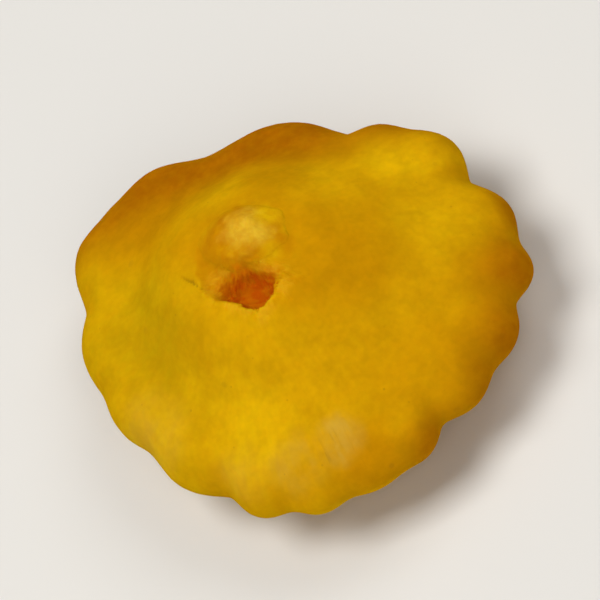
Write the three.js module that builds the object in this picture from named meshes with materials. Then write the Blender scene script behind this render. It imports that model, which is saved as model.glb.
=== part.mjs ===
// A small yellow pattypan squash, as picked and pickled: a low crown on the stem side, a scalloped brim,
// a shallow dome on the blossom side, and the broken-off stub of its stem in a hollow on the crown.
// Millimetres, +Z up, standing on the blossom end with the origin in the middle of that resting spot.

import * as THREE from 'three';

// ---- Driving dimensions of the fruit ----
const CROWN_HEIGHT = 11.6;        // the crown's top above the plane of the brim
const DOME_DEPTH = 8.0;           // the blossom end below the plane of the brim
const BRIM_REACH = 22.0;          // mean reach of the brim, which the section is drawn for
const RESTING_SPOT_RADIUS = 5.6;  // flat, corky scar that the fruit stands on
const HOLLOW_RADIUS = 5.3;        // round hollow that the stem grew out of
const HOLLOW_DEPTH = 0.7;

// The brim's lobes in turn, by azimuth in degrees from +X. Each entry is the crease at the lobe's start,
// how far that crease reaches from the axis, how far the lobe swells out past its creases, and how far
// its crest stands above or below the plane of the brim.
const LOBES = [
  { azimuth: 19, reach: 21.2, swell: 0.5, lift: 1.3 },
  { azimuth: 40, reach: 18.9, swell: 1.3, lift: -0.1 },
  { azimuth: 81, reach: 20.3, swell: 1.3, lift: 0 },
  { azimuth: 109, reach: 23, swell: 1.9, lift: 0.2 },
  { azimuth: 138, reach: 20.8, swell: 0.6, lift: 0.4 },
  { azimuth: 166, reach: 19.4, swell: 0.4, lift: 0.5 },
  { azimuth: 190, reach: 18.7, swell: 0.7, lift: 0.3 },
  { azimuth: 220, reach: 19.5, swell: 1, lift: 0 },
  { azimuth: 238, reach: 21.2, swell: 0.7, lift: 0 },
  { azimuth: 254, reach: 21.6, swell: 0.3, lift: 0 },
  { azimuth: 269, reach: 22.2, swell: 0.8, lift: 0 },
  { azimuth: 284, reach: 21.3, swell: 0.8, lift: -0.2 },
  { azimuth: 302, reach: 22.8, swell: 1, lift: -0.4 },
  { azimuth: 320, reach: 23, swell: 1.3, lift: -0.6 },
  { azimuth: 336, reach: 23.5, swell: 1.1, lift: -0.4 },
  { azimuth: 356, reach: 21.3, swell: 1.5, lift: 0.9 },
];
const LOBE_ROUNDNESS = 2.4;       // 2 is a plain arch; more gives fuller lobes with tighter creases
const RIB_START_ABOVE = 0.76;     // share of the reach where the ribs begin on the crown
const RIB_START_BELOW = 0.35;     // and on the blossom side, where the creases run further in
const RIB_PUFF = 0.16;            // share by which the brim is thicker on a lobe than in a crease

// The valley between crown and brim is deeper on one side of the fruit, and filled on the other.
const VALLEY_AZIMUTH = 165;
const VALLEY_DEPTH = 0.7;
const VALLEY_PLACE = 0.60;        // share of the reach
const VALLEY_WIDTH = 0.15;

// Where the stem tore away it took flesh with it, and left a wedge-shaped pit beside the stub.
const TEAR_AZIMUTH = 240;
const TEAR_DISTANCE = 3.9;
const TEAR_HALF_LENGTH = 3.5;     // across the tear's azimuth
const TEAR_HALF_WIDTH = 2.4;      // along it
const TEAR_TAPER = 0.4;           // share by which it narrows outwards
const TEAR_DEPTH = 1.2;

// ---- Driving dimensions of the stem stub ----
const STUB_HALF_LENGTH = 4.5;     // across the tear's azimuth
const STUB_HALF_WIDTH = 3.1;      // along it
const STUB_OFFSET = 1.5;          // from the axis, away from the tear
const STUB_HEIGHT = 2.0;          // above its seat
const STUB_EDGES = 7;             // ridges that run down its flank
const SEAT_GAP = 0.3;             // clearance to the floor of the hollow

const STATIONS = 116;             // faces round the fruit
const STUB_STATIONS = 42;
const RIM_HEIGHT = DOME_DEPTH;    // the plane of the brim, above the surface it stands on

const degrees = THREE.MathUtils.degToRad;
const smoothstep = THREE.MathUtils.smoothstep;
const lerp = THREE.MathUtils.lerp;

// ---- The brim's outline ----

// Which lobe an azimuth falls in, and how far through it, from 0 at one crease to 1 at the next.
function lobeAt(azimuth) {
  const count = LOBES.length;
  for (let i = 0; i < count; i += 1) {
    const lobe = LOBES[i];
    const next = LOBES[(i + 1) % count];
    const before = LOBES[(i + count - 1) % count];
    const span = (next.azimuth - lobe.azimuth + 360) % 360;
    const past = (azimuth - lobe.azimuth + 360) % 360;
    if (past < span) {
      return { before, lobe, next, share: past / span };
    }
  }
  throw new Error(`no lobe at azimuth ${azimuth}`);
}

// The brim rises and falls from crest to crest, by way of the mean of the two in the crease between.
function liftAt({ before, lobe, next, share }) {
  const neighbour = share < 0.5 ? before : next;
  const toCrest = 1 - Math.abs(2 * share - 1);
  return lerp((neighbour.lift + lobe.lift) / 2, lobe.lift, smoothstep(toCrest, 0, 1));
}

// The arch of a lobe, 0 in the creases and 1 on its crest. The creases are sharp where crisp is 1.
function archOf(share, crisp) {
  const full = 1 - Math.abs(2 * share - 1) ** LOBE_ROUNDNESS;
  const soft = Math.sin(Math.PI * share) ** 2;
  return lerp(soft, full, crisp);
}

// ---- The section, drawn as points of [share of the reach, height over the brim's plane] ----
const hollowLip = HOLLOW_RADIUS / BRIM_REACH;
const restingEdge = RESTING_SPOT_RADIUS / BRIM_REACH;
const crownSection = new THREE.SplineCurve([
  new THREE.Vector2(hollowLip, CROWN_HEIGHT),
  new THREE.Vector2(0.33, CROWN_HEIGHT * 0.95),
  new THREE.Vector2(0.42, CROWN_HEIGHT * 0.84),
  new THREE.Vector2(0.51, CROWN_HEIGHT * 0.7),
  new THREE.Vector2(0.60, CROWN_HEIGHT * 0.56),
  new THREE.Vector2(0.69, CROWN_HEIGHT * 0.46),
  new THREE.Vector2(0.78, CROWN_HEIGHT * 0.385),
  new THREE.Vector2(0.86, CROWN_HEIGHT * 0.32),
  new THREE.Vector2(0.93, CROWN_HEIGHT * 0.235),
  new THREE.Vector2(0.98, CROWN_HEIGHT * 0.12),
  new THREE.Vector2(1.0, 0),
]);
const domeSection = new THREE.SplineCurve([
  new THREE.Vector2(1.0, 0),
  new THREE.Vector2(0.99, -DOME_DEPTH * 0.13),
  new THREE.Vector2(0.95, -DOME_DEPTH * 0.28),
  new THREE.Vector2(0.86, -DOME_DEPTH * 0.45),
  new THREE.Vector2(0.72, -DOME_DEPTH * 0.64),
  new THREE.Vector2(0.54, -DOME_DEPTH * 0.83),
  new THREE.Vector2(0.38, -DOME_DEPTH * 0.95),
  new THREE.Vector2(restingEdge, -DOME_DEPTH),
]);
const hollowFloor = CROWN_HEIGHT - HOLLOW_DEPTH;
const section = [
  new THREE.Vector2(0, hollowFloor),
  new THREE.Vector2(hollowLip * 0.25, hollowFloor),
  new THREE.Vector2(hollowLip * 0.45, hollowFloor),
  new THREE.Vector2(hollowLip * 0.62, hollowFloor),
  new THREE.Vector2(hollowLip * 0.77, hollowFloor),
  new THREE.Vector2(hollowLip * 0.88, hollowFloor),
  new THREE.Vector2(hollowLip * 0.95, hollowFloor + HOLLOW_DEPTH * 0.55),
  ...crownSection.getSpacedPoints(21),
  ...domeSection.getSpacedPoints(17).slice(1),
  new THREE.Vector2(restingEdge * 0.5, -DOME_DEPTH),
  new THREE.Vector2(0, -DOME_DEPTH),
];

// ---- The fruit: the section turned round the axis, then pressed into its uneven, lobed form ----
function pressFruit(point) {
  const share = Math.hypot(point.x, point.y);
  const azimuth = THREE.MathUtils.radToDeg(Math.atan2(point.y, point.x));
  const here = lobeAt((azimuth + 360) % 360);
  const { lobe, next, share: through } = here;
  const above = point.z > 0;
  const rib = smoothstep(share, above ? RIB_START_ABOVE : RIB_START_BELOW, 1);
  const arch = archOf(through, rib);

  // The brim reaches out further where the fruit is lopsided, and the hollow and resting spot stay round.
  const creaseReach = lerp(lobe.reach, next.reach, smoothstep(through, 0, 1));
  const lopsided = smoothstep(share, restingEdge, 0.8);
  const meanSwell = lobe.swell * 0.6;
  const reach = lerp(BRIM_REACH, creaseReach + lerp(meanSwell, lobe.swell * arch, rib), lopsided);

  // Lobes are thicker than creases, and the valley runs round one side of the crown.
  let height = point.z * (1 + RIB_PUFF * rib * lobe.swell * (arch - 0.5));
  height += liftAt(here) * smoothstep(share, 0.5, 1);
  if (above) {
    const facing = Math.cos(degrees(azimuth - VALLEY_AZIMUTH));
    height -= VALLEY_DEPTH * facing * Math.exp(-(((share - VALLEY_PLACE) / VALLEY_WIDTH) ** 2));
  }

  const x = Math.cos(degrees(azimuth)) * share * reach;
  const y = Math.sin(degrees(azimuth)) * share * reach;
  if (above && share < hollowLip * 1.5) {
    height -= tearDepth(x, y);
  }
  point.set(x, y, RIM_HEIGHT + height);
}

// The tear is a bowl across the hollow's edge, deepest in its middle and narrower outwards.
function tearDepth(x, y) {
  const along = x * Math.cos(degrees(TEAR_AZIMUTH)) + y * Math.sin(degrees(TEAR_AZIMUTH));
  const across = -x * Math.sin(degrees(TEAR_AZIMUTH)) + y * Math.cos(degrees(TEAR_AZIMUTH));
  const outwards = (along - TEAR_DISTANCE) / TEAR_HALF_WIDTH;
  const out = Math.hypot(outwards, across / (TEAR_HALF_LENGTH * (1 - TEAR_TAPER * outwards)));
  return out < 1 ? TEAR_DEPTH * (1 - out * out) : 0;
}

function pressEach(geometry, press) {
  const positions = geometry.getAttribute('position');
  const point = new THREE.Vector3();
  for (let i = 0; i < positions.count; i += 1) {
    point.fromBufferAttribute(positions, i);
    press(point);
    positions.setXYZ(i, point.x, point.y, point.z);
  }
  geometry.computeVertexNormals();
  return geometry;
}

function makeFruit() {
  const turned = new THREE.LatheGeometry([...section].reverse(), STATIONS);
  turned.rotateX(Math.PI / 2);
  const skin = new THREE.MeshStandardMaterial({ color: 0xd29e0a, roughness: 0.45, metalness: 0 });
  const body = new THREE.Mesh(pressEach(turned, pressFruit), skin);
  body.name = 'fruit';
  return body;
}

// ---- The stem stub: a low ridged mound with a broken, slightly tilted top ----
const stubProfile = [
  new THREE.Vector2(0, 0),
  new THREE.Vector2(0.55, 0),
  new THREE.Vector2(0.95, 0),
  new THREE.Vector2(1.0, 0.1),
  new THREE.Vector2(0.97, 0.3),
  new THREE.Vector2(0.88, 0.54),
  new THREE.Vector2(0.74, 0.76),
  new THREE.Vector2(0.54, 0.91),
  new THREE.Vector2(0.28, 0.98),
  new THREE.Vector2(0, 1.0),
];

function pressStub(point) {
  const azimuth = Math.atan2(point.y, point.x);
  const ridge = 1 + 0.05 * Math.cos(STUB_EDGES * azimuth + 0.8) + 0.04 * Math.cos(3 * azimuth + 2.1);
  const brokenTop = 1 + 0.1 * point.x - 0.08 * point.y;
  point.x *= STUB_HALF_WIDTH * ridge;
  point.y *= STUB_HALF_LENGTH * ridge;
  point.z *= STUB_HEIGHT * brokenTop;
}

function makeStemStub() {
  const turned = new THREE.LatheGeometry(stubProfile, STUB_STATIONS);
  turned.rotateX(Math.PI / 2);
  const cork = new THREE.MeshStandardMaterial({ color: 0xd6ad3a, roughness: 0.7, metalness: 0 });
  const stub = new THREE.Mesh(pressEach(turned, pressStub), cork);
  stub.name = 'stem_stub';
  const away = degrees(TEAR_AZIMUTH + 180);
  stub.rotation.z = away;
  stub.position.set(
    STUB_OFFSET * Math.cos(away),
    STUB_OFFSET * Math.sin(away),
    RIM_HEIGHT + hollowFloor + SEAT_GAP,
  );
  return stub;
}

// The origin is the middle of the fruit's plan, so the lopsided fruit's own axis stands a little beside it.
const squash = new THREE.Group();
const fruit = makeFruit();
squash.add(fruit, makeStemStub());
const middle = new THREE.Box3().setFromObject(fruit).getCenter(new THREE.Vector3());
squash.position.set(-middle.x, -middle.y, 0);

export default squash;
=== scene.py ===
from math import cos, pi, radians, sin

import bmesh
import bpy
from mathutils import Matrix, Vector, noise
from mathutils.bvhtree import BVHTree


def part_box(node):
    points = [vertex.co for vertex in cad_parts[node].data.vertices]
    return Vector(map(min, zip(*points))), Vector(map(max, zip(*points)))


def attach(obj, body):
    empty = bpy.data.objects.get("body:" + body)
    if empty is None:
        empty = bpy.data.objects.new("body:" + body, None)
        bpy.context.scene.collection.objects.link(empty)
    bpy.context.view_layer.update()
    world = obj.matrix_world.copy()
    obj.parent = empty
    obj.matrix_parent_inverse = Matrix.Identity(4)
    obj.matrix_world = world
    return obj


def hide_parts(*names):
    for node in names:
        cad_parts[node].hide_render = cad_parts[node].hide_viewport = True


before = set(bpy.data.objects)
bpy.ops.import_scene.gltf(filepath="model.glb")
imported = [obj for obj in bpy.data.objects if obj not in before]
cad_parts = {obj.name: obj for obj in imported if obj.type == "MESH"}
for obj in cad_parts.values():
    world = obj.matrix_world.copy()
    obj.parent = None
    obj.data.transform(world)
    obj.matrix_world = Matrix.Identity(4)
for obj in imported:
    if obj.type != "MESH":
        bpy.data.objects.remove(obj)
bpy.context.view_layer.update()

# ------------------------------------------------------------------------------------------------
# The fruit. One grown body: a low crown round the stem hollow, a scalloped brim of uneven lobes and
# a shallow dome that ends in the corky blossom scar it stands on. Its skin is thin, waxy and golden,
# over pale flesh, and nothing fixes it: it rests on the scar.
# ------------------------------------------------------------------------------------------------
MM = 0.001
CROWN_HEIGHT = 11.6 * MM
DOME_DEPTH = 8.0 * MM
BRIM_REACH = 22.0 * MM
RESTING_SPOT_RADIUS = 5.6 * MM
HOLLOW_RADIUS = 5.2 * MM
MEAN_SWELL = 0.6          # share of a lobe's swell that its mean reach takes in

# Azimuth of the crease at a lobe's start, that crease's reach, how far the lobe swells past it, and
# how far its crest stands above the plane of the brim.
LOBES = [
    (19, 21.2 * MM, 0.5 * MM, 0.8 * MM),
    (34, 18.9 * MM, 1.2 * MM, -0.1 * MM),
    (81, 20.3 * MM, 1.0 * MM, 0.0),
    (109, 23.6 * MM, 1.6 * MM, 0.2 * MM),
    (138, 20.8 * MM, 0.6 * MM, 0.4 * MM),
    (166, 19.4 * MM, 0.4 * MM, 0.5 * MM),
    (190, 18.7 * MM, 0.7 * MM, 0.3 * MM),
    (220, 19.5 * MM, 1.0 * MM, 0.0),
    (238, 21.2 * MM, 0.7 * MM, 0.0),
    (254, 21.6 * MM, 0.3 * MM, 0.0),
    (269, 22.2 * MM, 0.8 * MM, 0.0),
    (284, 21.3 * MM, 0.8 * MM, -0.2 * MM),
    (302, 22.8 * MM, 1.0 * MM, -0.4 * MM),
    (320, 23.0 * MM, 1.3 * MM, -0.6 * MM),
    (336, 23.5 * MM, 1.1 * MM, -0.4 * MM),
    (356, 21.3 * MM, 1.5 * MM, 0.9 * MM),
]

# The section through the axis at the mean reach, from the middle of the crown over the brim
# to the middle of the blossom scar, as (distance from the axis, height over the plane of the brim).
SECTION = [
    (0.0, CROWN_HEIGHT),
    (BRIM_REACH * 0.12, CROWN_HEIGHT),
    (BRIM_REACH * 0.23, CROWN_HEIGHT * 0.995),
    (BRIM_REACH * 0.33, CROWN_HEIGHT * 0.95),
    (BRIM_REACH * 0.42, CROWN_HEIGHT * 0.84),
    (BRIM_REACH * 0.51, CROWN_HEIGHT * 0.7),
    (BRIM_REACH * 0.60, CROWN_HEIGHT * 0.56),
    (BRIM_REACH * 0.69, CROWN_HEIGHT * 0.46),
    (BRIM_REACH * 0.78, CROWN_HEIGHT * 0.385),
    (BRIM_REACH * 0.86, CROWN_HEIGHT * 0.32),
    (BRIM_REACH * 0.93, CROWN_HEIGHT * 0.235),
    (BRIM_REACH * 0.98, CROWN_HEIGHT * 0.12),
    (BRIM_REACH, 0.0),
    (BRIM_REACH * 0.99, -DOME_DEPTH * 0.13),
    (BRIM_REACH * 0.95, -DOME_DEPTH * 0.28),
    (BRIM_REACH * 0.86, -DOME_DEPTH * 0.45),
    (BRIM_REACH * 0.72, -DOME_DEPTH * 0.64),
    (BRIM_REACH * 0.54, -DOME_DEPTH * 0.83),
    (BRIM_REACH * 0.38, -DOME_DEPTH * 0.95),
    (RESTING_SPOT_RADIUS * 0.9, -DOME_DEPTH),
    (RESTING_SPOT_RADIUS * 0.62, -DOME_DEPTH * 0.985),
    (RESTING_SPOT_RADIUS * 0.30, -DOME_DEPTH * 0.97),
    (0.0, -DOME_DEPTH * 0.94),
]
RING_CROWDING = 0.45      # below 1, the rings crowd together towards the stem hollow

# Shares of the reach where the ribs begin, where a lobe starts to lift, and where the plan is as
# lopsided as the brim. The valley between crown and brim is deeper on one side of the fruit.
RIB_START_ABOVE = 0.80
RIB_START_BELOW = 0.35
RIB_PUFF = 120.0          # share of thickness gained for each metre of bulge
LIFT_START = 0.5
FULLY_LOPSIDED = 0.8
VALLEY_AZIMUTH = 165
VALLEY_PLACE = 0.60
VALLEY_WIDTH = 0.15

# The boss that the stem stands on, and the hollow on the side where the flesh parted from the stem.
BOSS_HEIGHT = 1.1 * MM
BOSS_OFFSET = 1.7 * MM    # from the axis, away from the tear
BOSS_CORE = 1.2 * MM      # its top is level out to here
BOSS_REACH = 5.8 * MM     # and its slope ends here
PARTED_AZIMUTH = 205
PARTED_SIDE = (0.55, 0.85)   # where the hollow's strands start and are full
HOLLOW_EDGE = 1.1 * MM
HOLLOW_WANDER = 1.8 * MM
HOLLOW_CLEAR_OF_BOSS = (2.4 * MM, 4.2 * MM)

# The tear beside the stem. Its rim is at 1 of its own size, and its lip lies round that.
TEAR_AZIMUTH = 240
TEAR_HALF_LENGTH = 3.3 * MM
TEAR_HALF_WIDTH = 2.5 * MM
TEAR_ASIDE = 0.5 * MM
TEAR_SKEW = 0.7 * MM
TEAR_TAPER = 0.35
TEAR_NARROWEST = 0.2
TEAR_POINTEDNESS = 1.5    # 1 is a diamond, 2 an ellipse
TEAR_RAGGED = 0.85
TEAR_WALL = (0.45, 1.0)
TEAR_INNER_END = (-1.2, -0.6)   # where its colour starts and is full, in half widths
TEAR_LIP = 0.2 * MM
LIP_RISE = (0.85, 1.1)
LIP_FALL = (1.1, 1.7)
RUMPLE_HEIGHT = 1.0 * MM
STRAND_HEIGHT = 0.7 * MM
STRANDS_ALONG = 5.0       # strands are drawn out across the tear
STRANDS_ACROSS = 0.8
STRANDS_CLEAR_OF_BOSS = (2.6 * MM, 3.4 * MM)
STRANDS_IN_HOLLOW = 0.6
STEM_END = 0.5            # share of the reach within which the tear marks the fruit

# The crack that runs on from the hollow's edge. It gapes wider at one end.
CRACK_AZIMUTH = 168
CRACK_DISTANCE = 5.4 * MM
CRACK_HEADING = 105
CRACK_HALF_LENGTH = 1.9 * MM
CRACK_HALF_WIDTH = 0.2 * MM
CRACK_DEPTH = 0.2 * MM
CRACK_BEND = 0.6 * MM
CRACK_MEAN_GAPE = 0.75
CRACK_GAPE_GAIN = 0.45
CRACK_LEAST_GAPE = 0.25

# The relief of the blossom scar, and that of the skin, which fades out on the resting spot.
SCAR_EDGE = (0.03, 0.24)
SCAR_RELIEF = 0.35 * MM
SWELLING = 0.7 * MM
DIMPLING = 0.12 * MM
RELIEF_STARTS = (0.22, 0.5)

LEVEL = (1.0, 1.0, 0.0)   # flattens a place onto the floor
WELD = 1e-7


def on_azimuth(azimuth, reach, lift):
    """A point at an azimuth in degrees, a reach from the axis and a height."""
    return Vector((reach * cos(radians(azimuth)), reach * sin(radians(azimuth)), lift))


def new_bezier_curve(name, count, closed):
    curve = bpy.data.curves.new(name, "CURVE")
    curve.dimensions = "3D"
    curve.resolution_u = 24
    spline = curve.splines.new("BEZIER")
    spline.bezier_points.add(count - 1)
    spline.use_cyclic_u = closed
    drawn = bpy.data.objects.new(name, curve)
    bpy.context.collection.objects.link(drawn)
    return drawn, spline.bezier_points


def draw_brim_outline():
    """The brim from above, two points a lobe. A point's radius holds the reach without the lobes."""
    outline, points = new_bezier_curve("brim_outline", 2 * len(LOBES), closed=True)
    for i, (azimuth, reach, swell, lift) in enumerate(LOBES):
        next_azimuth, next_reach, _, _ = LOBES[(i + 1) % len(LOBES)]
        _, _, swell_before, lift_before = LOBES[i - 1]
        crest_azimuth = azimuth + ((next_azimuth - azimuth) % 360) / 2
        mean_reach = (reach + next_reach) / 2
        crease, crest = points[2 * i], points[2 * i + 1]
        crease.co = on_azimuth(azimuth, reach, (lift + lift_before) / 2)
        crease.radius = reach + MEAN_SWELL * (swell + swell_before) / 2
        crease.handle_left_type = crease.handle_right_type = "VECTOR"
        crest.co = on_azimuth(crest_azimuth, mean_reach + swell, lift)
        crest.radius = mean_reach + MEAN_SWELL * swell
        crest.handle_left_type = crest.handle_right_type = "AUTO"
    return outline


def draw_section():
    section, points = new_bezier_curve("fruit_section", len(SECTION), closed=False)
    for point, (distance, height) in zip(points, SECTION):
        point.co = (distance, 0.0, height)
        point.handle_left_type = point.handle_right_type = "AUTO"
    return section


class Field:
    """A value that flows through a node tree, so that sums, products and curves read as such."""

    def __init__(self, tree, socket):
        self.tree = tree
        self.socket = socket

    def math(self, operation, *others):
        node = self.tree.nodes.new("ShaderNodeMath")
        node.operation = operation
        for place, value in enumerate((self, *others)):
            feed(self.tree, node.inputs[place], value)
        return Field(self.tree, node.outputs[0])

    def __add__(self, other):
        return self.math("ADD", other)

    def __sub__(self, other):
        return self.math("SUBTRACT", other)

    def __mul__(self, other):
        return self.math("MULTIPLY", other)

    def __truediv__(self, other):
        return self.math("DIVIDE", other)

    def clamped(self):
        clamped = self.math("ADD", 0.0)
        clamped.socket.node.use_clamp = True
        return clamped

    def complement(self):
        return Field.of(self.tree, 1.0) - self

    def eased(self, start, end):
        """0 before start and 1 after end, with a smooth step between them."""
        node = self.tree.nodes.new("ShaderNodeMapRange")
        node.interpolation_type = "SMOOTHSTEP"
        for name, value in (("Value", self), ("From Min", start), ("From Max", end)):
            feed(self.tree, node.inputs[name], value)
        return Field(self.tree, node.outputs["Result"])

    def blend(self, other, share):
        """This value where share is 0, and the other where it is 1."""
        return self + (Field.of(self.tree, other) - self) * share

    @staticmethod
    def of(tree, value):
        if isinstance(value, Field):
            return value
        node = tree.nodes.new("ShaderNodeValue")
        node.outputs[0].default_value = value
        return Field(tree, node.outputs[0])


def feed(tree, socket, value):
    """Link a field or a socket into an input, or set the input to a plain value."""
    if isinstance(value, Field):
        tree.links.new(value.socket, socket)
    elif isinstance(value, bpy.types.NodeSocket):
        tree.links.new(value, socket)
    else:
        socket.default_value = value


def add_node(tree, kind, inputs=None, **settings):
    node = tree.nodes.new(kind)
    for name, value in settings.items():
        setattr(node, name, value)
    for name, value in (inputs or {}).items():
        feed(tree, node.inputs[name], value)
    return node


def vector_math(tree, operation, *places, scale=None):
    """The vector that an operation gives, or a field where it gives a length or a distance."""
    node = add_node(tree, "ShaderNodeVectorMath", dict(enumerate(places)), operation=operation)
    if scale is not None:
        feed(tree, node.inputs["Scale"], scale)
    if operation in ("LENGTH", "DISTANCE"):
        return Field(tree, node.outputs["Value"])
    return node.outputs["Vector"]


def joined(tree, *parts):
    """A vector of one, two or three parts."""
    return add_node(tree, "ShaderNodeCombineXYZ", dict(enumerate(parts))).outputs[0]


def parts_of(tree, place):
    """The three parts of a vector, as fields."""
    return [Field(tree, part) for part in add_node(tree, "ShaderNodeSeparateXYZ", {0: place}).outputs]


def along_azimuth(east, north, azimuth):
    """How far a place lies from the axis along an azimuth in degrees."""
    return east * cos(radians(azimuth)) + north * sin(radians(azimuth))


def noise_field(tree, place, swings, detail=2.0, roughness=0.5):
    """Smooth noise from -0.5 to 0.5, at a number of swings a metre."""
    node = add_node(
        tree, "ShaderNodeTexNoise",
        {"Vector": place, "Scale": swings, "Detail": detail, "Roughness": roughness},
    )
    return Field(tree, node.outputs[0]) - 0.5


SIZE_KINDS = {int: "Int", float: "Float", bpy.types.Object: "Object", bpy.types.Material: "Material"}


def new_piece_tree(name, sizes):
    """A Geometry Nodes tree with a geometry input and output, and a named input for each size."""
    tree = bpy.data.node_groups.new(name, "GeometryNodeTree")
    tree.interface.new_socket("Geometry", in_out="INPUT", socket_type="NodeSocketGeometry")
    tree.interface.new_socket("Geometry", in_out="OUTPUT", socket_type="NodeSocketGeometry")
    for size, value in sizes.items():
        kind = "NodeSocket" + SIZE_KINDS[type(value)]
        tree.interface.new_socket(size, in_out="INPUT", socket_type=kind)
    entry = tree.nodes.new("NodeGroupInput")
    return tree, {socket.name: Field(tree, socket) for socket in entry.outputs if socket.name}


def set_sizes(modifier, sizes):
    for item in modifier.node_group.interface.items_tree:
        if item.in_out == "INPUT" and item.name in sizes:
            modifier[item.identifier] = sizes[item.name]


def finished_mesh(maker, name):
    """The evaluated result of a piece's modifiers, as a plain mesh object in their place."""
    shape = bpy.data.meshes.new_from_object(maker.evaluated_get(bpy.context.evaluated_depsgraph_get()))
    shape.name = name
    piece = bpy.data.objects.new(name, shape)
    bpy.context.collection.objects.link(piece)
    bpy.data.objects.remove(maker)
    return piece


def store(tree, geometry, name, value):
    """The geometry, with a value stored under a name on each of its points."""
    node = add_node(
        tree, "GeometryNodeStoreNamedAttribute", {"Geometry": geometry, "Name": name, "Value": value},
        data_type="FLOAT", domain="POINT",
    )
    return node.outputs[0]


def stored(tree, name):
    node = add_node(tree, "GeometryNodeInputNamedAttribute", {"Name": name}, data_type="FLOAT")
    return Field(tree, node.outputs[0])


def live_value(sockets):
    """The socket called Value that the node's type of data has switched on."""
    return next(socket for socket in sockets if socket.name == "Value" and socket.enabled)


def blurred(tree, value, passes):
    node = add_node(tree, "GeometryNodeBlurAttribute", {"Iterations": passes}, data_type="FLOAT")
    feed(tree, live_value(node.inputs), value)
    return live_value(node.outputs)


def sampled(tree, curve, factor, name=None):
    """The place at a share of the curve's length or, if it is named, the value stored there."""
    node = add_node(
        tree, "GeometryNodeSampleCurve", {"Curves": curve, "Factor": factor},
        mode="FACTOR", use_all_curves=True,
    )
    if name is None:
        return node.outputs["Position"]
    feed(tree, live_value(node.inputs), stored(tree, name))
    return Field(tree, live_value(node.outputs))


def move_along_normal(tree, geometry, distance):
    normal = tree.nodes.new("GeometryNodeInputNormal").outputs[0]
    offset = vector_math(tree, "SCALE", normal, scale=distance)
    moved = add_node(tree, "GeometryNodeSetPosition", {"Geometry": geometry, "Offset": offset})
    return moved.outputs[0]


def station_outline(tree, size, place):
    """The outline in even stations: crisp for the rim, softened for the ribs' roots, and without lobes."""
    stations = add_node(
        tree, "GeometryNodeResampleCurve", {"Curve": size["Geometry"], "Count": size["Stations"]},
    )
    reach_here = vector_math(tree, "LENGTH", vector_math(tree, "MULTIPLY", place, LEVEL))
    plain_reach = tree.nodes.new("GeometryNodeInputRadius").outputs[0]
    lift_here = parts_of(tree, place)[2]
    outline = stations.outputs[0]
    for name, value, softness in (
        ("rim_reach", reach_here, "Crease Softness"),
        ("rib_reach", reach_here, "Rib Softness"),
        ("plain_reach", plain_reach, "Plain Softness"),
        ("lift", lift_here, "Rib Softness"),
    ):
        outline = store(tree, outline, name, blurred(tree, value, size[softness]))
    return outline


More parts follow.
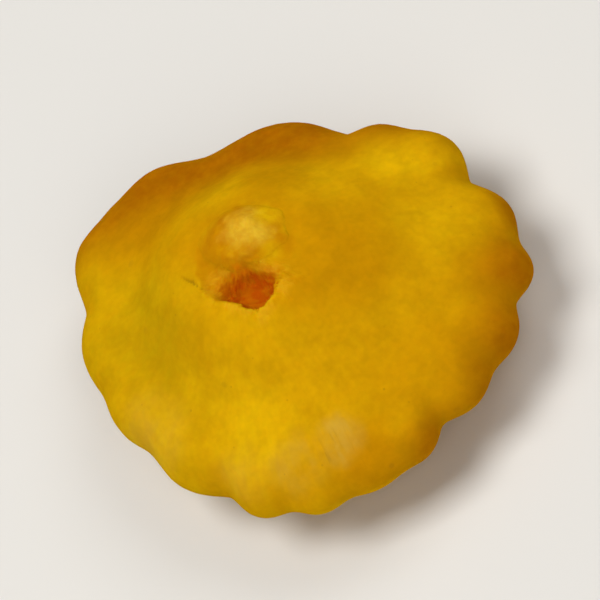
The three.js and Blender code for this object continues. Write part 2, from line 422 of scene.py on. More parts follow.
def build_fruit_tree(sizes):
    """Sweep the section round the brim's outline, and press ribs, valley, tear and relief into it."""
    tree, size = new_piece_tree("grow_fruit", sizes)
    place = tree.nodes.new("GeometryNodeInputPosition").outputs[0]
    outline = station_outline(tree, size, place)

    # A flat sheet of quads carries the turn round the axis along X and the way down the section along Y.
    sheet = add_node(
        tree, "GeometryNodeMeshGrid",
        {"Size X": 1.0, "Size Y": 1.0, "Vertices X": size["Stations"], "Vertices Y": size["Rings"]},
    )
    turn, down = ((part + 0.5).clamped() for part in parts_of(tree, place)[:2])
    down = down * (down * (1.0 - RING_CROWDING) + RING_CROWDING)
    rim_reach = sampled(tree, outline, turn, "rim_reach")
    rib_reach = sampled(tree, outline, turn, "rib_reach")
    plain_reach = sampled(tree, outline, turn, "plain_reach")
    lift = sampled(tree, outline, turn, "lift")
    heading = vector_math(tree, "MULTIPLY", sampled(tree, outline, turn), LEVEL)
    east, north, _ = parts_of(tree, vector_math(tree, "NORMALIZE", heading))
    drawn = add_node(tree, "GeometryNodeObjectInfo", {"Object": size["Section"]})
    distance, _, height = parts_of(tree, sampled(tree, drawn.outputs["Geometry"], down))
    share = distance / size["Brim Reach"]

    # The ribs grow towards the rim, from nearer the axis below than above.
    above = height.math("GREATER_THAN", 0.0)
    rib = share.eased(RIB_START_BELOW, 1.0).blend(share.eased(RIB_START_ABOVE, 1.0), above)
    lopsided = share.eased(RESTING_SPOT_RADIUS / BRIM_REACH, FULLY_LOPSIDED)
    bulge = (rib_reach.blend(rim_reach, rib) - plain_reach) * rib
    reach = size["Brim Reach"].blend(plain_reach, lopsided) + bulge
    height = height * (bulge * RIB_PUFF + 1.0) + lift * share.eased(LIFT_START, 1.0)
    off_valley = (share - VALLEY_PLACE) / VALLEY_WIDTH
    valley = (off_valley * off_valley * -1.0).math("EXPONENT") * along_azimuth(east, north, VALLEY_AZIMUTH)
    height = height - valley * size["Valley Depth"] * above

    plan = (east * share * reach, north * share * reach)
    flat_place = joined(tree, *plan)

    # Round the stem's foot the fruit swells into a boss. On the side where the flesh parted from the
    # stem, a crescent-shaped hollow with a wandering edge lies between the boss and the crown.
    boss_east, boss_north, _ = on_azimuth(TEAR_AZIMUTH + 180, BOSS_OFFSET, 0.0)
    off_east, off_north = plan[0] - boss_east, plan[1] - boss_north
    off_boss = (off_east * off_east + off_north * off_north).math("SQRT")
    boss = off_boss.eased(BOSS_CORE, BOSS_REACH).complement() * above
    parted = along_azimuth(east, north, PARTED_AZIMUTH) * 0.5 + 0.5
    wander = noise_field(tree, flat_place, swings=240.0) * HOLLOW_WANDER
    inside = (share * reach + wander).eased(HOLLOW_RADIUS - HOLLOW_EDGE, HOLLOW_RADIUS)
    hollow = inside.complement() * off_boss.eased(*HOLLOW_CLEAR_OF_BOSS) * above
    height = height + boss * size["Boss Height"] - hollow * parted * parted * size["Hollow Depth"]

    # The tear is a ragged wedge across the hollow's edge that points outwards.
    along = (along_azimuth(*plan, TEAR_AZIMUTH) - size["Tear Distance"]) / TEAR_HALF_WIDTH
    across = along_azimuth(*plan, TEAR_AZIMUTH + 90) - TEAR_ASIDE - along * TEAR_SKEW
    across = across / ((along * -TEAR_TAPER + 1.0).math("MAXIMUM", TEAR_NARROWEST) * TEAR_HALF_LENGTH)
    ragged = noise_field(tree, flat_place, swings=800.0, detail=5.0, roughness=0.7) * TEAR_RAGGED
    squared = [value.math("ABSOLUTE").math("POWER", TEAR_POINTEDNESS) for value in (along, across)]
    out = (squared[0] + squared[1]).math("POWER", 1.0 / TEAR_POINTEDNESS) + ragged
    bowl = out.eased(*TEAR_WALL).complement() * above

    # Strands of flesh cross the tear and the hollow beside it, and a rumpled lip stands round it.
    strand_place = joined(tree, along * STRANDS_ALONG, across * STRANDS_ACROSS)
    strands = noise_field(tree, strand_place, swings=1.0, detail=3.0)
    strands = strands * off_boss.eased(*STRANDS_CLEAR_OF_BOSS)
    strands = strands * (bowl + hollow * parted.eased(*PARTED_SIDE) * STRANDS_IN_HOLLOW)
    lip = (out.eased(*LIP_RISE) - out.eased(*LIP_FALL)) * above * share.math("LESS_THAN", STEM_END)
    rumpled = lip * noise_field(tree, flat_place, swings=1100.0, detail=3.0, roughness=0.6)
    height = height + strands * STRAND_HEIGHT
    height = height - bowl * size["Tear Depth"] + lip * TEAR_LIP + rumpled * RUMPLE_HEIGHT

    # A short crack runs on from the hollow's edge, away from the tear.
    crack_east, crack_north, _ = on_azimuth(CRACK_AZIMUTH, CRACK_DISTANCE, 0.0)
    off_crack = (plan[0] - crack_east, plan[1] - crack_north)
    crack_along = along_azimuth(*off_crack, CRACK_HEADING) / CRACK_HALF_LENGTH
    bend = noise_field(tree, flat_place, swings=700.0) * CRACK_BEND
    gape = (crack_along * CRACK_GAPE_GAIN + CRACK_MEAN_GAPE).math("MAXIMUM", CRACK_LEAST_GAPE)
    crack_across = (along_azimuth(*off_crack, CRACK_HEADING + 90) + bend) / (gape * CRACK_HALF_WIDTH)
    crack = (crack_along * crack_along + crack_across * crack_across).eased(0.0, 1.0).complement() * above
    height = height - crack * CRACK_DEPTH

    # The blossom scar is roughened from within, so that the fruit still rests on its rim.
    scar = share.eased(*SCAR_EDGE).complement() * above.complement()
    roughness = noise_field(tree, flat_place, swings=650.0, detail=4.0, roughness=0.6) + 0.5
    height = height + scar * roughness * SCAR_RELIEF

    body = sheet.outputs["Mesh"]
    for name, value in (
        ("bulge", bulge / MM),
        ("share", share),
        ("tear", bowl * along.eased(*TEAR_INNER_END)),
        ("lip", lip),
        ("crack", crack),
        ("from_blossom", share + above),
        ("hollow", hollow * parted),
    ):
        body = store(tree, body, name, value)
    shaped = joined(tree, *plan, height + size["Dome Depth"])
    body = add_node(tree, "GeometryNodeSetPosition", {"Geometry": body, "Position": shaped}).outputs[0]
    body = add_node(tree, "GeometryNodeMergeByDistance", {"Geometry": body, "Distance": WELD}).outputs[0]

    # Slow unevenness of growth, then finer dimpling. Both fade out on the resting spot.
    still = stored(tree, "share").eased(*RELIEF_STARTS)
    swelling = noise_field(tree, place, swings=75.0) * SWELLING
    dimpling = noise_field(tree, place, swings=330.0, detail=3.0) * DIMPLING
    body = move_along_normal(tree, body, swelling * still)
    body = move_along_normal(tree, body, dimpling * still)

    # The sheet's faces look inwards once it is wrapped round the axis, so they are turned over.
    body = add_node(tree, "GeometryNodeFlipFaces", {"Mesh": body}).outputs[0]
    body = add_node(tree, "GeometryNodeSetShadeSmooth", {"Geometry": body}).outputs[0]
    body = add_node(tree, "GeometryNodeRealizeInstances", {"Geometry": body}).outputs[0]
    body = add_node(tree, "GeometryNodeSetMaterial", {"Geometry": body, "Material": size["Material"]})
    feed(tree, tree.nodes.new("NodeGroupOutput").inputs["Geometry"], body.outputs[0])
    return tree


# The skin's colours, from the golden ground to the flesh that the torn stem laid bare.
GOLD = (0.66, 0.36, 0.002, 1.0)
DEEP_GOLD = (0.52, 0.23, 0.001, 1.0)
OLIVE_GOLD = (0.50, 0.32, 0.002, 1.0)
OLIVE = (0.36, 0.25, 0.002, 1.0)
# Painted shade on the rim: wholly at the front and right edges, and at the back partly the skin's own
# orange.
RIM_ORANGE_AND_SHADE = (0.37, 0.11, 0.001, 1.0)
PALE_GOLD = (0.80, 0.50, 0.003, 1.0)
SCUFF = (0.58, 0.37, 0.05, 1.0)
SCAR_CREAM = (0.66, 0.42, 0.06, 1.0)
SPECK = (0.24, 0.10, 0.01, 1.0)
HOLLOW_TAN = (0.50, 0.19, 0.001, 1.0)
FRAYED_TAN = (0.70, 0.37, 0.01, 1.0)
# Painted shade for the crack's groove.
CRACK_SHADE = (0.27, 0.12, 0.002, 1.0)
BARED_ORANGE = (0.80, 0.20, 0.002, 1.0)
TORN_FLESH = (0.44, 0.075, 0.001, 1.0)

# Patches of the skin, each by azimuth, distance from the axis, radius, strength and colour: deeper
# and paler gold, then the orange of the rim. The deeper gold at azimuths 319, 3 and 264 is painted
# shade, and at 44, 112 and 120, on the back, it is partly painted shade and partly the skin's own tone.
# The paler gold lies where brim and crown are most lit and is partly painted light.
TONE_LIGHT_AND_SHADE_PATCHES = [
    (319, 9.2 * MM, 9.0 * MM, 0.7, DEEP_GOLD),
    (120, 6.5 * MM, 6.0 * MM, 0.6, DEEP_GOLD),
    (112, 13.5 * MM, 8.5 * MM, 0.75, DEEP_GOLD),
    (44, 8.5 * MM, 5.5 * MM, 0.75, DEEP_GOLD),
    (264, 21.5 * MM, 6.0 * MM, 0.9, DEEP_GOLD),
    (285, 6.0 * MM, 4.0 * MM, 0.55, DEEP_GOLD),
    (3, 7.3 * MM, 3.8 * MM, 0.45, DEEP_GOLD),
    (232, 15.3 * MM, 6.5 * MM, 0.6, PALE_GOLD),
    (205, 11.8 * MM, 4.5 * MM, 0.3, PALE_GOLD),
    (192, 17.6 * MM, 5.5 * MM, 0.35, PALE_GOLD),
    (10, 17.5 * MM, 6.0 * MM, 0.6, PALE_GOLD),
    (340, 16.5 * MM, 5.5 * MM, 0.35, PALE_GOLD),
    (14, 10.0 * MM, 5.0 * MM, 0.15, PALE_GOLD),
]
# Painted shade: deeper orange on the right and lower right edges, where the rim turns from the light.
RIM_SHADE_PATCHES = [
    (326, 23.0 * MM, 6.0 * MM, 0.7, RIM_ORANGE_AND_SHADE),
    (279, 22.5 * MM, 5.0 * MM, 0.75, RIM_ORANGE_AND_SHADE),
    (344, 24.0 * MM, 5.0 * MM, 0.8, RIM_ORANGE_AND_SHADE),
]

# Where the brim was rubbed pale, and where flesh was bared or the skin is paler round the stem.
SCUFFS = [
    (260, 18.6 * MM, 3.0 * MM, 0.75, SCUFF),
    (245, 18.9 * MM, 3.6 * MM, 0.35, SCUFF),
    (227, 18.5 * MM, 4.0 * MM, 0.2, SCUFF),
    (192, 17.6 * MM, 6.0 * MM, 0.25, SCUFF),
]
STEM_END_PATCHES = [
    (201, 3.3 * MM, 1.7 * MM, 0.6, TORN_FLESH),
    (287, 3.7 * MM, 1.4 * MM, 0.7, TORN_FLESH),
    (232, 1.8 * MM, 1.6 * MM, 0.7, BARED_ORANGE),
    (19, 4.2 * MM, 2.0 * MM, 0.65, PALE_GOLD),
    (318, 3.1 * MM, 1.7 * MM, 0.4, PALE_GOLD),
]
SPOT_CORE = 0.2           # share of a patch's radius that has its full strength
SPECK_EDGE = 0.06         # how soft a speck's edge is, in cells
STREAKS_ROUND = 12.0      # streaks are drawn out from the axis
STREAKS_OUTWARDS = 120.0

# Single places of the skin, each by azimuth, distance from the axis and radius.
# The olive spot over the valley between crown and brim: partly the skin's own olive, partly painted shade.
VALLEY_OLIVE_AND_SHADE = (168, 11.5 * MM, 9.0 * MM)
WORN_PLACE = (250, 18.0 * MM, 11.0 * MM)
SCRATCHED_PLACE = (258, 19.6 * MM, 3.4 * MM)
TANNED_PLACE = (TEAR_AZIMUTH + 180, BOSS_OFFSET, 7.0 * MM)
FRAYED_PLACE = (332, 4.4 * MM, 1.6 * MM)
UNDER_STEM = (TEAR_AZIMUTH, 1.6 * MM, 3.4 * MM)

# Colours that come on across the whole fruit, each by its heading across the plan and the distances
# along that at which it starts and is full. The rim's orange at the back also starts at a height, and
# is partly the skin's own orange and partly painted shade; at the front it is painted shade.
OLIVE_SIDE = ((-0.8, 0.25), -4.0 * MM, 15.0 * MM)
BACK_RIM_ORANGE_AND_SHADE = ((0.39, 0.92), 6.5 * MM, 17.5 * MM)
FRONT_RIM_SHADE = ((0.54, -0.84), 18.5 * MM, 24.5 * MM)
BACK_RIM_ORANGE_AND_SHADE_HEIGHTS = (2.5 * MM, 9.0 * MM)

# The blossom end, in shares of the reach from its middle: the cream, the ring of specks, the point.
CREAM_EDGE = (0.17, 0.29)
RING_INNER_EDGE = (0.14, 0.24)
RING_OUTER_EDGE = (0.24, 0.34)
POINT_EDGE = (0.01, 0.07)
SCAR_WANDER = 0.09


def new_mask_group(name, inputs):
    """A node group for the materials, which turns a place and named numbers into a mask from 0 to 1."""
    group = bpy.data.node_groups.new(name, "ShaderNodeTree")
    group.interface.new_socket("Vector", in_out="INPUT", socket_type="NodeSocketVector")
    for label, value in inputs.items():
        socket = group.interface.new_socket(label, in_out="INPUT", socket_type="NodeSocketFloat")
        socket.default_value = value
    group.interface.new_socket("Mask", in_out="OUTPUT", socket_type="NodeSocketFloat")
    entry = group.nodes.new("NodeGroupInput").outputs
    return group, entry["Vector"], {label: Field(group, entry[label]) for label in inputs}


def finish_mask_group(group, mask):
    feed(group, group.nodes.new("NodeGroupOutput").inputs["Mask"], mask)
    return group


def new_mottle_group():
    """Soft irregular patches."""
    group, place, given = new_mask_group("mottle", {"Scale": 100.0, "Detail": 3.0, "Low": 0.4, "High": 0.6})
    grain = noise_field(group, place, given["Scale"], given["Detail"]) + 0.5
    return finish_mask_group(group, grain.eased(given["Low"], given["High"]))


def new_specks_group():
    """Sparse round specks of uneven size."""
    group, place, given = new_mask_group("specks", {"Scale": 900.0, "Size": 0.2, "Rarity": 0.8})
    cells = add_node(group, "ShaderNodeTexVoronoi", {"Vector": place, "Scale": given["Scale"]})
    draw = add_node(group, "ShaderNodeSeparateColor", {0: cells.outputs["Color"]})
    radius = Field(group, draw.outputs[0]).eased(given["Rarity"], 1.0) * given["Size"]
    near = radius - Field(group, cells.outputs["Distance"])
    return finish_mask_group(group, near.eased(0.0, SPECK_EDGE))


MOTTLE = new_mottle_group()
SPECKS = new_specks_group()


def group_field(tree, group, inputs):
    return Field(tree, add_node(tree, "ShaderNodeGroup", inputs, node_tree=group).outputs[0])


def mottle(tree, place, swings, low=0.4, high=0.6, detail=3.0):
    return group_field(
        tree, MOTTLE, {"Vector": place, "Scale": swings, "Detail": detail, "Low": low, "High": high},
    )


def specks(tree, place, cells, size, rarity):
    return group_field(tree, SPECKS, {"Vector": place, "Scale": cells, "Size": size, "Rarity": rarity})


def tinted(tree, base, tint, share):
    """The base colour, changed to the tint by share."""
    node = add_node(tree, "ShaderNodeMix", {0: share}, data_type="RGBA")
    colours = [socket for socket in node.inputs if socket.type == "RGBA"]
    feed(tree, colours[0], base)
    feed(tree, colours[1], tint)
    return next(socket for socket in node.outputs if socket.type == "RGBA")


def attribute_field(tree, name):
    return Field(tree, add_node(tree, "ShaderNodeAttribute", attribute_name=name).outputs["Fac"])


def skin_under(place):
    """The point of the fruit's upper skin straight under a place, or None past the brim."""
    return FRUIT_SURFACE.ray_cast(Vector((place.x, place.y, 1.0)), Vector((0.0, 0.0, -1.0)))[0]


def on_skin(azimuth, distance):
    """The point of the fruit's upper skin over a place of the plan or, past the brim, one in its plane."""
    in_plane = AXIS + on_azimuth(azimuth, distance, DOME_DEPTH)
    hit = skin_under(in_plane)
    return in_plane if hit is None else hit


def spot(tree, place, azimuth, distance, radius):
    """A soft-edged round patch of the skin: 1 in its middle and 0 past its radius."""
    off_middle = vector_math(tree, "DISTANCE", place, on_skin(azimuth, distance))
    return off_middle.eased(radius * SPOT_CORE, radius).complement()


def patched(tree, colour, place, patches, texture=1.0):
    """The colour with patches laid over it, each as strong as it is and as its texture lets it."""
    for azimuth, distance, radius, strength, tint in patches:
        patch = spot(tree, place, azimuth, distance, radius) * texture
        colour = tinted(tree, colour, tint, patch * strength)
    return colour


def strayed(tree, place, swings, reach):
    """The place, moved aside by smooth noise, so that a patch drawn on it has an uneven edge."""
    drift = add_node(
        tree, "ShaderNodeTexNoise", {"Vector": place, "Scale": swings, "Detail": 3.0, "Roughness": 0.55},
    )
    centred = vector_math(tree, "SUBTRACT", drift.outputs["Color"], (0.5, 0.5, 0.5))
    return vector_math(tree, "ADD", place, vector_math(tree, "SCALE", centred, scale=reach))


def across_plan(east, north, heading, start, end):
    """A mask that comes on along a heading across the plan, between two distances from the axis."""
    return (east * heading[0] + north * heading[1]).eased(start, end)


def from_axis(tree, place):
    """How far east and north of the fruit's axis a place is, and its height over the floor."""
    return parts_of(tree, vector_math(tree, "SUBTRACT", place, AXIS))


def new_tanning_group():
    """How strongly the flesh has browned round the stem's foot, and frayed on one side of it."""
    group, place, _ = new_mask_group("tanning", {})
    patchy = mottle(group, place, swings=330.0, low=0.3, high=0.65)
    fine = mottle(group, place, swings=1100.0, low=0.35, high=0.65)
    browned = spot(group, place, *TANNED_PLACE) * (patchy * 0.5 + fine * 0.3 + 0.35)
    frays = spot(group, strayed(group, place, swings=1100.0, reach=2.0 * MM), *FRAYED_PLACE)
    return finish_mask_group(group, (browned + frays * 0.45).clamped())


def new_material(name):
    material = bpy.data.materials.new(name)
    material.use_nodes = True
    tree = material.node_tree
    return material, tree, tree.nodes["Principled BSDF"]


def make_flesh(shader, depth):
    """Light goes a little way into the brined tissue and warms, and wet flesh in brine has no gloss."""
    shader.inputs["Subsurface Weight"].default_value = 0.35
    shader.inputs["Subsurface Radius"].default_value = (1.0, 0.42, 0.08)
    shader.inputs["Subsurface Scale"].default_value = depth
    shader.inputs["Specular IOR Level"].default_value = 0.0


def paint_ground(tree, place, patch_place):
    """The golden ground: an olive side, patches partly painted shade and light, a rim orange partly painted
    shade, and painted shade in the creases.
    """
    east, north, height = from_axis(tree, patch_place)
    colour = tinted(tree, GOLD, DEEP_GOLD, mottle(tree, place, swings=70.0, low=0.38, high=0.72) * 0.55)
    olive_side = across_plan(east, north, *OLIVE_SIDE)
    olive_patches = mottle(tree, place, swings=110.0, low=0.3, high=0.7)
    colour = tinted(tree, colour, OLIVE_GOLD, olive_side * (olive_patches * 0.35 + 0.25))
    # Partly painted shade: a darker olive over the valley.
    colour = tinted(tree, colour, OLIVE, spot(tree, patch_place, *VALLEY_OLIVE_AND_SHADE) * 0.35)
    # Patches of the skin's own tone, of painted shade and of painted light.
    colour = patched(tree, colour, patch_place, TONE_LIGHT_AND_SHADE_PATCHES)
    # The rim's orange: painted shade at the front, and at the back partly painted shade, partly the skin's
    # own orange.
    back_rim_orange_and_shade = across_plan(east, north, *BACK_RIM_ORANGE_AND_SHADE) * height.eased(*BACK_RIM_ORANGE_AND_SHADE_HEIGHTS)
    front_rim_shade = across_plan(east, north, *FRONT_RIM_SHADE)
    colour = tinted(tree, colour, RIM_ORANGE_AND_SHADE, (back_rim_orange_and_shade * 1.05 + front_rim_shade * 0.9).clamped())
    colour = patched(tree, colour, patch_place, RIM_SHADE_PATCHES)
    # Painted shade: the creases between the lobes are darkened.
    crease = (attribute_field(tree, "bulge") * -1.4).clamped()
    return tinted(tree, colour, DEEP_GOLD, crease * 0.6)


def paint_stem_end(tree, place, colour, fibres):
    """Tan round the stem's foot and in the hollow, its patches, the tear's frayed lip, and painted shade in
    the crack.
    """
    colour = tinted(tree, colour, HOLLOW_TAN, group_field(tree, TANNING, {"Vector": place}))
    colour = tinted(tree, colour, HOLLOW_TAN, attribute_field(tree, "hollow") * (fibres * 0.3 + 0.5))
    colour = tinted(tree, colour, HOLLOW_TAN, spot(tree, place, *UNDER_STEM) * (fibres * 0.4 + 0.2))
    colour = paint_stem_end_patches(tree, place, colour, fibres)
    colour = tinted(tree, colour, FRAYED_TAN, attribute_field(tree, "lip") * fibres * 0.45)
    # Painted shade: the crack is darkened.
    return tinted(tree, colour, CRACK_SHADE, attribute_field(tree, "crack") * 0.6)


def paint_stem_end_patches(tree, place, colour, fibres):
    """Fibrous patches that run on from the fruit's skin over the stem's foot."""
    frayed_place = strayed(tree, place, swings=800.0, reach=1.6 * MM)
    return patched(tree, colour, frayed_place, STEM_END_PATCHES, texture=fibres * 0.4 + 0.6)


def paint_blossom_end(tree, place, colour, grain, streaks):
    """The corky cream scar, with a ring of specks round it and a dark point in its middle."""
    out = attribute_field(tree, "from_blossom")
    out = out + noise_field(tree, place, swings=450.0, detail=4.0, roughness=0.6) * SCAR_WANDER
    cream = out.eased(*CREAM_EDGE).complement()
    colour = tinted(tree, colour, SCAR_CREAM, cream * (grain * 0.35 + 0.4))
    ring = out.eased(*RING_INNER_EDGE) - out.eased(*RING_OUTER_EDGE)
    ring_specks = specks(tree, place, cells=1100.0, size=0.4, rarity=0.35)
    colour = tinted(tree, colour, SPECK, ring * (ring_specks * 0.4 + streaks * 0.25))
    return tinted(tree, colour, SPECK, out.eased(*POINT_EDGE).complement() * 0.6)


def paint_skin(tree, shader):
    place = tree.nodes.new("ShaderNodeTexCoord").outputs["Object"]
    patch_place = strayed(tree, place, swings=130.0, reach=5.0 * MM)
    colour = paint_ground(tree, place, patch_place)

    # Fine specks everywhere, and large ones that are stronger on the worn side.
    fine_specks = specks(tree, place, cells=900.0, size=0.14, rarity=0.7)
    large_specks = specks(tree, place, cells=380.0, size=0.17, rarity=0.5)
    worn_side = spot(tree, place, *WORN_PLACE) * 0.7 + 0.3
    colour = tinted(tree, colour, SPECK, fine_specks * 0.3 + large_specks * worn_side * 0.5)

    # Streaks that run outwards from the axis, an even grain, and a slight unevenness of lightness.
    east, north, _ = from_axis(tree, place)
    round_axis = east.math("ARCTAN2", north) * STREAKS_ROUND
    outwards = (east * east + north * north).math("SQRT") * STREAKS_OUTWARDS
    run = joined(tree, round_axis, outwards)
    streaks = mottle(tree, run, swings=2.2, low=0.3, high=0.7, detail=5.0)
    grain = mottle(tree, place, swings=950.0, low=0.3, high=0.7, detail=4.0)
    colour = tinted(tree, colour, DEEP_GOLD, streaks * 0.12 + grain * 0.18)
    bloom = mottle(tree, place, swings=1500.0, low=0.35, high=0.65)
    clouding = mottle(tree, place, swings=360.0, low=0.35, high=0.65)
    lightness = (bloom - 0.5) * -0.06 + (clouding - 0.5) * -0.11 + 1.0
    colour = vector_math(tree, "SCALE", colour, scale=lightness)

    # Scuffs on the brim, flaked and streaked, and the scratches on the largest of them.
    flaked = mottle(tree, place, swings=420.0, low=0.3, high=0.65, detail=4.0)
    colour = patched(tree, colour, patch_place, SCUFFS, texture=streaks * 0.4 + flaked * 0.6)
    scratches = mottle(tree, run, swings=3.1, low=0.54, high=0.7, detail=5.0)
    scratches = scratches * spot(tree, place, *SCRATCHED_PLACE)
    colour = tinted(tree, colour, SPECK, scratches * 0.35)

    fibres = mottle(tree, place, swings=900.0, detail=4.0)
    colour = paint_stem_end(tree, place, colour, fibres)
    colour = paint_blossom_end(tree, place, colour, grain, streaks)
    torn_flesh = tinted(tree, TORN_FLESH, DEEP_GOLD, fibres * 0.25)
    colour = tinted(tree, colour, torn_flesh, attribute_field(tree, "tear").eased(0.02, 0.4))
    feed(tree, shader.inputs["Base Color"], colour)

    pores = noise_field(tree, place, swings=1500.0, detail=3.0, roughness=0.6)
    relief = add_node(tree, "ShaderNodeBump", {"Height": pores, "Strength": 0.25, "Distance": 0.05 * MM})
    feed(tree, shader.inputs["Normal"], relief.outputs[0])
    feed(tree, shader.inputs["Roughness"], mottle(tree, place, swings=260.0) * 0.12 + 0.52)
    make_flesh(shader, depth=2.2 * MM)


skin, skin_tree, skin_shader = new_material("pickled_skin")
fruit_sizes = {
    "Stations": 512,
    "Rings": 176,
    "Section": draw_section(),
    "Brim Reach": BRIM_REACH,
    "Dome Depth": DOME_DEPTH,
    "Crease Softness": 2,
    "Rib Softness": 9,
    "Plain Softness": 70,
    "Valley Depth": 0.7 * MM,
    "Tear Distance": 3.9 * MM,
    "Tear Depth": 1.2 * MM,
    "Hollow Depth": 0.9 * MM,
    "Boss Height": BOSS_HEIGHT,
    "Material": skin,
}
fruit_maker = draw_brim_outline()
grower = fruit_maker.modifiers.new("grow", "NODES")
grower.node_group = build_fruit_tree(fruit_sizes)
set_sizes(grower, fruit_sizes)
fruit = finished_mesh(fruit_maker, "squash_fruit")
bpy.data.objects.remove(fruit_sizes["Section"])


def plan_middle(low, high):
    return Vector(((low[0] + high[0]) / 2, (low[1] + high[1]) / 2, 0.0))


# The fruit was drawn round its axis. It moves so that its plan's middle is where the frame has it.
corners = [Vector(corner) for corner in fruit.bound_box]
drawn_middle = plan_middle(
    [min(corner[i] for corner in corners) for i in range(3)],
    [max(corner[i] for corner in corners) for i in range(3)],
)
AXIS = plan_middle(*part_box("fruit")) - drawn_middle
fruit.data.transform(Matrix.Translation(AXIS))
FRUIT_SURFACE = BVHTree.FromPolygons(
    [vertex.co for vertex in fruit.data.vertices],
    [face.vertices for face in fruit.data.polygons],
)
TANNING = new_tanning_group()
paint_skin(skin_tree, skin_shader)

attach(fruit, "root")
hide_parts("fruit")

# ------------------------------------------------------------------------------------------------
# The stem stub. The broken-off foot of the stem, a low corky mound that grew out of the hollow and
# holds on by its fibres. Its top is pale where it broke and partly painted light, and its flank is
# lumpy and browner, partly as painted shade.
# ------------------------------------------------------------------------------------------------
STUB_STATIONS = 160
STUB_RINGS = 56
STUB_HALF_LENGTH = 4.6 * MM
STUB_HALF_WIDTH = 3.6 * MM
STUB_OFFSET = 1.8 * MM
STUB_ASIDE = 0.3 * MM
STUB_RISE = 0.72 * MM
STUB_EDGE = 0.02 * MM
STUB_EDGE_WANDER = 0.1 * MM
STUB_EDGE_SWINGS = 800
STUB_SUNK = 0.6 * MM
STUB_TUCK = 40            # the higher, the nearer to its edge the mound turns down into the fruit
STUB_AWAY = radians(TEAR_AZIMUTH + 180)
STUB_MIDDLE = AXIS + Vector((
    STUB_OFFSET * cos(STUB_AWAY) + STUB_ASIDE * sin(STUB_AWAY),
    STUB_OFFSET * sin(STUB_AWAY) - STUB_ASIDE * cos(STUB_AWAY),
    0.0,
))

# How uneven its outline is: share of its reach, and swings across a circle of radius 1.
STUB_LOBING = [
    (0.12, 1.6),
    (0.06, 5.0),
]

# The mound's lumps: height, swings a metre, and where in the noise each size of lump is drawn.
STUB_LUMPS = [
    (0.45 * MM, 420, 0.0),
    (0.2 * MM, 1000, 4.0),
    (0.08 * MM, 2600, 9.0),
]


def noise_at(place, drawn_at):
    return noise.noise(place + Vector((0.0, 0.0, drawn_at)))


def stub_point(around, out):
    """A point of the mound's skin: out runs from 0 in the middle of the top to 1 at its sunken foot."""
    edge = Vector((cos(around), sin(around), 0.0))
    lobing = 1 + sum(share * noise.noise(edge * swings) for share, swings in STUB_LOBING) * out
    across = Vector((STUB_HALF_WIDTH * edge.x, STUB_HALF_LENGTH * edge.y, 0.0)) * out * lobing
    across.rotate(Matrix.Rotation(STUB_AWAY, 3, "Z"))
    lumps = sum(height * noise_at(across * swings, drawn_at) for height, swings, drawn_at in STUB_LUMPS)
    thickness = (STUB_RISE + lumps) * (1 - out ** 2) ** 2
    edge_wander = STUB_EDGE_WANDER * noise_at(across * STUB_EDGE_SWINGS, 2.0)
    thickness += (STUB_EDGE + edge_wander) * out ** 2 - STUB_SUNK * out ** STUB_TUCK
    return skin_under(STUB_MIDDLE + across) + Vector((0.0, 0.0, thickness))


def build_stub():
    form = bmesh.new()
    foot = form.verts.layers.float.new("foot")
    middle = form.verts.new(stub_point(0.0, 0.0))
    rings = []
    for ring in range(1, STUB_RINGS + 1):
        out = ring / STUB_RINGS
        rings.append([
            form.verts.new(stub_point(2 * pi * i / STUB_STATIONS, out)) for i in range(STUB_STATIONS)
        ])
        for point in rings[-1]:
            point[foot] = out
    for i in range(STUB_STATIONS):
        j = (i + 1) % STUB_STATIONS
        form.faces.new((middle, rings[0][i], rings[0][j]))
        for inner, outer in zip(rings, rings[1:]):
            form.faces.new((inner[i], outer[i], outer[j], inner[j]))
    form.faces.new(list(reversed(rings[-1])))
    bmesh.ops.recalc_face_normals(form, faces=form.faces)
    for face in form.faces:
        face.smooth = True
    shape = bpy.data.meshes.new("squash_stem_stub")
    form.to_mesh(shape)
    form.free()
    piece = bpy.data.objects.new("squash_stem_stub", shape)
    bpy.context.collection.objects.link(piece)
    return piece


CORK = (0.76, 0.49, 0.03, 1.0)
CORK_BROWN = (0.46, 0.17, 0.002, 1.0)
# The pale broken face on the mound's top, partly painted light.
BROKEN_FACE_AND_LIGHT = (36, 2.0 * MM, 3.3 * MM)
TANNED_SIDE = (-2.0 * MM, 2.5 * MM)
FLANK_STARTS = (0.5, 0.7)
FLANK_ENDS = (0.75, 0.92)


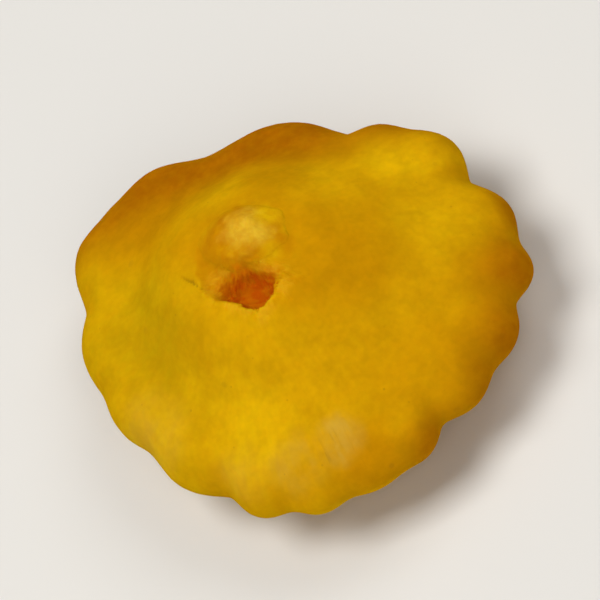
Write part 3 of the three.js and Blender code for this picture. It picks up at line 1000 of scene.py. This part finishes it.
def make_cork():
    """Golden and tanned like the skin round it at its foot, brown on its flank partly as painted shade,
    pale on its top where it broke and partly as painted light.
    """
    cork, tree, shader = new_material("stem_cork")
    place = tree.nodes.new("ShaderNodeTexCoord").outputs["Object"]
    east, north, _ = from_axis(tree, place)
    foot = attribute_field(tree, "foot")
    parted_side = along_azimuth(east, north, PARTED_AZIMUTH)
    colour = tinted(tree, GOLD, HOLLOW_TAN, group_field(tree, TANNING, {"Vector": place}))
    colour = tinted(tree, colour, HOLLOW_TAN, parted_side.eased(*TANNED_SIDE) * foot * 0.5)
    patchy = mottle(tree, place, swings=420.0, low=0.25, high=0.65)
    # Partly painted light: the pale broken face lies on the mound's top.
    broken_face_and_light = spot(tree, strayed(tree, place, swings=520.0, reach=4.5 * MM), *BROKEN_FACE_AND_LIGHT)
    colour = tinted(tree, colour, CORK, broken_face_and_light * (patchy * 0.4 + 0.5))
    worn = mottle(tree, place, swings=650.0, low=0.4, high=0.65)
    # Partly painted shade: the flank round the mound is browner than its top.
    flank = foot.eased(*FLANK_STARTS) - foot.eased(*FLANK_ENDS)
    colour = tinted(tree, colour, CORK_BROWN, flank * worn * 0.5)
    fibres = mottle(tree, place, swings=1400.0, detail=4.0)
    colour = tinted(tree, colour, CORK_BROWN, fibres * 0.2)
    feed(tree, shader.inputs["Base Color"], paint_stem_end_patches(tree, place, colour, fibres))
    pits = noise_field(tree, place, swings=2200.0, detail=4.0, roughness=0.65)
    relief = add_node(tree, "ShaderNodeBump", {"Height": pits, "Strength": 0.5, "Distance": 0.1 * MM})
    feed(tree, shader.inputs["Normal"], relief.outputs[0])
    shader.inputs["Roughness"].default_value = 0.6
    make_flesh(shader, depth=1.5 * MM)
    return cork


stub = build_stub()
stub.data.materials.append(make_cork())
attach(stub, "root")
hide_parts("stem_stub")

# ------------------------------------------------------------------------------------------------
# The floor. A plain pale surface that the squash stands on, loose from it and no part of it.
# ------------------------------------------------------------------------------------------------
FLOOR_HALF_SIDE = 1.5
floor_corners = [(-1, -1), (1, -1), (1, 1), (-1, 1)]
floor_mesh = bpy.data.meshes.new("floor")
floor_mesh.from_pydata(
    [(x * FLOOR_HALF_SIDE, y * FLOOR_HALF_SIDE, 0) for x, y in floor_corners], [], [(0, 1, 2, 3)],
)
floor = bpy.data.objects.new("floor", floor_mesh)
bpy.context.collection.objects.link(floor)
pale, _, pale_shader = new_material("pale_floor")
pale_shader.inputs["Base Color"].default_value = (0.74, 0.73, 0.71, 1.0)
pale_shader.inputs["Roughness"].default_value = 0.9
floor_mesh.materials.append(pale)

# ------------------------------------------------------------------------------------------------
# The camera and the lights. The camera looks down on the stem end, turned about its own axis so
# that the stem end leans to the upper left of the frame. The lights are soft and large.
# ------------------------------------------------------------------------------------------------
CAMERA_ELEVATION = 54
CAMERA_ROLL = -38
CAMERA_DISTANCE = 0.6
FILM_WIDTH = 36.0
VIEW_WIDTH = 57.0 * MM            # what the frame takes in at the squash
TARGET = Vector((0.0, 0.0, 8.0 * MM))


def turned_to(heading):
    """The turn of a camera or a lamp that looks back along a heading."""
    return heading.to_track_quat("Z", "Y").to_matrix().to_4x4()


camera_data = bpy.data.cameras.new("camera")
camera_data.sensor_width = FILM_WIDTH
camera_data.lens = FILM_WIDTH * CAMERA_DISTANCE / VIEW_WIDTH
camera_data.clip_start = 0.01
camera = bpy.data.objects.new("camera", camera_data)
bpy.context.collection.objects.link(camera)
away = Vector((0.0, -cos(radians(CAMERA_ELEVATION)), sin(radians(CAMERA_ELEVATION))))
roll = Matrix.Rotation(radians(CAMERA_ROLL), 4, "Z")
camera.matrix_world = Matrix.Translation(TARGET + away * CAMERA_DISTANCE) @ turned_to(away) @ roll
bpy.context.scene.camera = camera


def add_soft_light(name, azimuth, elevation, distance, size, power, colour):
    """A square area light that looks at the squash from an azimuth and an elevation in degrees."""
    lamp = bpy.data.lights.new(name, "AREA")
    lamp.size = size
    lamp.energy = power
    lamp.color = colour
    light = bpy.data.objects.new(name, lamp)
    bpy.context.collection.objects.link(light)
    heading = on_azimuth(azimuth, cos(radians(elevation)), sin(radians(elevation)))
    light.matrix_world = Matrix.Translation(TARGET + heading * distance) @ turned_to(heading)


add_soft_light(
    "key", azimuth=170, elevation=72, distance=0.7, size=0.35, power=3.4, colour=(1.0, 0.98, 0.94),
)
add_soft_light(
    "fill", azimuth=262, elevation=42, distance=0.9, size=0.6, power=2.2, colour=(1.0, 0.97, 0.93),
)
add_soft_light(
    "rim", azimuth=20, elevation=50, distance=0.9, size=0.5, power=2.1, colour=(1.0, 0.98, 0.94),
)

world = bpy.data.worlds.new("studio")
bpy.context.scene.world = world
world.use_nodes = True
studio_light = world.node_tree.nodes["Background"]
studio_light.inputs["Color"].default_value = (1.0, 1.0, 1.0, 1.0)
studio_light.inputs["Strength"].default_value = 0.15
bpy.context.scene.view_settings.view_transform = "Standard"
